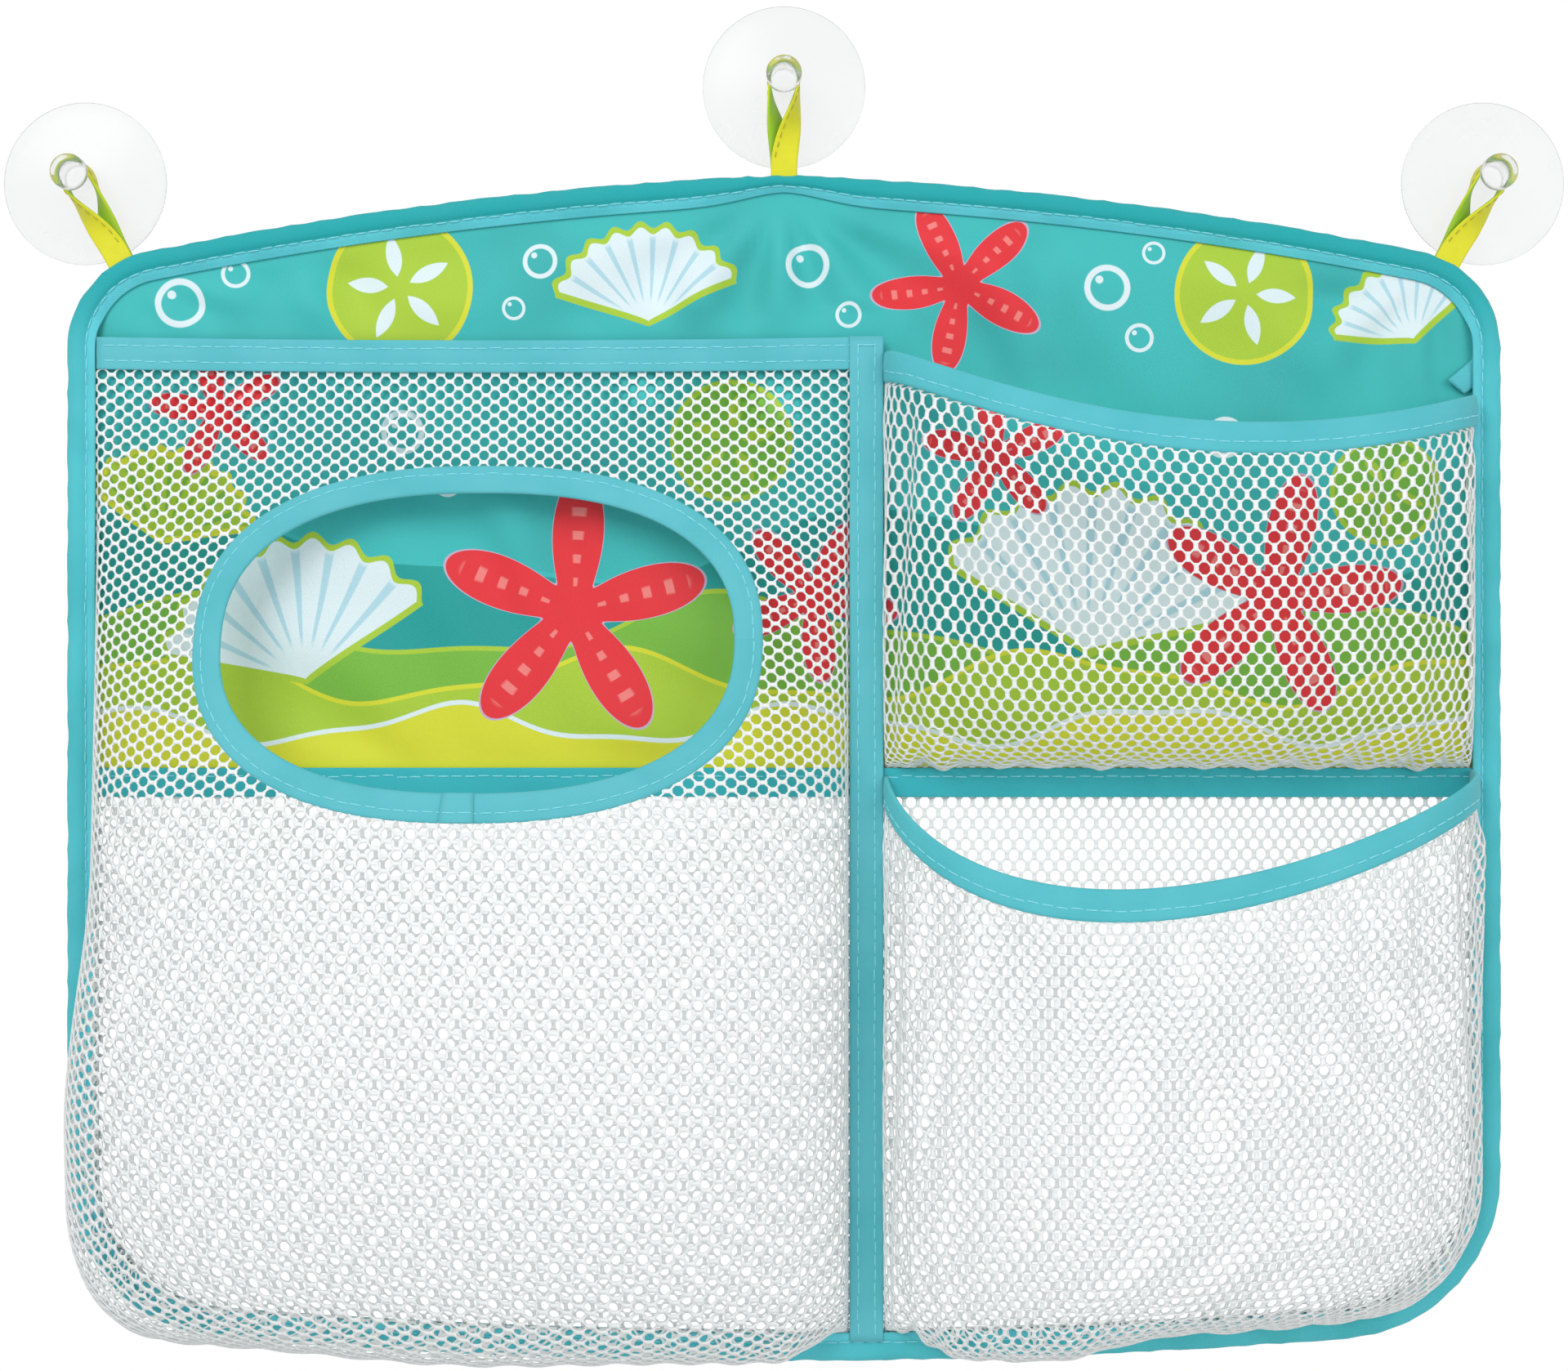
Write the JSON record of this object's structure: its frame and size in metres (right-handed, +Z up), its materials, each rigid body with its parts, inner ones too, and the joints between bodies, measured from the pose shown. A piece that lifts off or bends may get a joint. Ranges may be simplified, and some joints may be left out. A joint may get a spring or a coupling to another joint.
{
  "type": "bath toy organizer",
  "caption": "Wall-hung bath tidy of cloth and net: a deep net pocket with a bound oval mouth beside open-topped pockets, hung by tape loops on suction cups.",
  "frame": {"origin": "middle of the top suction cup's rim, where it meets the wall", "axes": "+X to the right along the wall, +Y into the wall, +Z up; the pockets face -Y"},
  "size_m": [0.5384, 0.0712, 0.4644],
  "materials": {
    "printed_cloth": "plain-woven polyester with an all-over printed design",
    "net": "white knitted polyester net with six-sided holes",
    "binding_tape": "teal woven binding tape, lockstitched",
    "loop_tape": "yellow-green folded tape, stitched along one edge",
    "clear_vinyl": "clear soft vinyl, glossy"
  },
  "bodies": {
    "bag": {"printed_back_panel": "printed_cloth", "back_net": "net", "centre_band": "binding_tape", "perimeter_binding": "binding_tape", "left_pocket_net": "net", "left_pocket_top_band": "binding_tape", "oval_opening_binding": "binding_tape", "divider_tape": "binding_tape", "upper_right_pocket_net": "net", "lower_right_pocket_net": "net"},
    "upper_lip": {"upper_right_lip": "binding_tape"},
    "lower_lip": {"lower_right_lip": "binding_tape"},
    "left_hanger": {"left_loop": "loop_tape"},
    "top_hanger": {"top_loop": "loop_tape"},
    "right_hanger": {"right_loop": "loop_tape"},
    "left_cup": {"left_suction_cup": "clear_vinyl"},
    "top_cup": {"top_suction_cup": "clear_vinyl"},
    "right_cup": {"right_suction_cup": "clear_vinyl"}
  },
  "joints": [
    {"name": "upper_lip_pull", "type": "hinge", "parent": "bag", "child": "upper_lip", "pos_m": [0.03465, -0.01295, -0.0934], "axis": [-0.9972, 0, 0.0754], "range_deg": [0, 25]},
    {"name": "lower_lip_pull", "type": "hinge", "parent": "bag", "child": "lower_lip", "pos_m": [0.03465, -0.01295, -0.2369], "axis": [-0.9999, 0, -0.0101], "range_deg": [0, 25]},
    {"name": "left_loop_swing", "type": "hinge", "parent": "bag", "child": "left_hanger", "pos_m": [-0.22681, -0.01025, -0.06023], "axis": [0.8829, 0, 0.4695], "range_deg": [-45, 90]},
    {"name": "top_loop_swing", "type": "hinge", "parent": "bag", "child": "top_hanger", "pos_m": [0, -0.01025, -0.0306], "axis": [1, 0, 0], "range_deg": [-45, 90]},
    {"name": "right_loop_swing", "type": "hinge", "parent": "bag", "child": "right_hanger", "pos_m": [0.22681, -0.01025, -0.06023], "axis": [0.8829, 0, -0.4695], "range_deg": [-45, 90]},
    {"name": "left_cup_spin", "type": "hinge", "parent": "left_hanger", "child": "left_cup", "pos_m": [-0.24117, -0.01025, -0.03321], "axis": [0, 1, 0], "continuous": true},
    {"name": "top_cup_spin", "type": "hinge", "parent": "top_hanger", "child": "top_cup", "pos_m": [0, -0.01025, 0], "axis": [0, 1, 0], "continuous": true},
    {"name": "right_cup_spin", "type": "hinge", "parent": "right_hanger", "child": "right_cup", "pos_m": [0.24117, -0.01025, -0.03321], "axis": [0, 1, 0], "continuous": true}
  ]
}
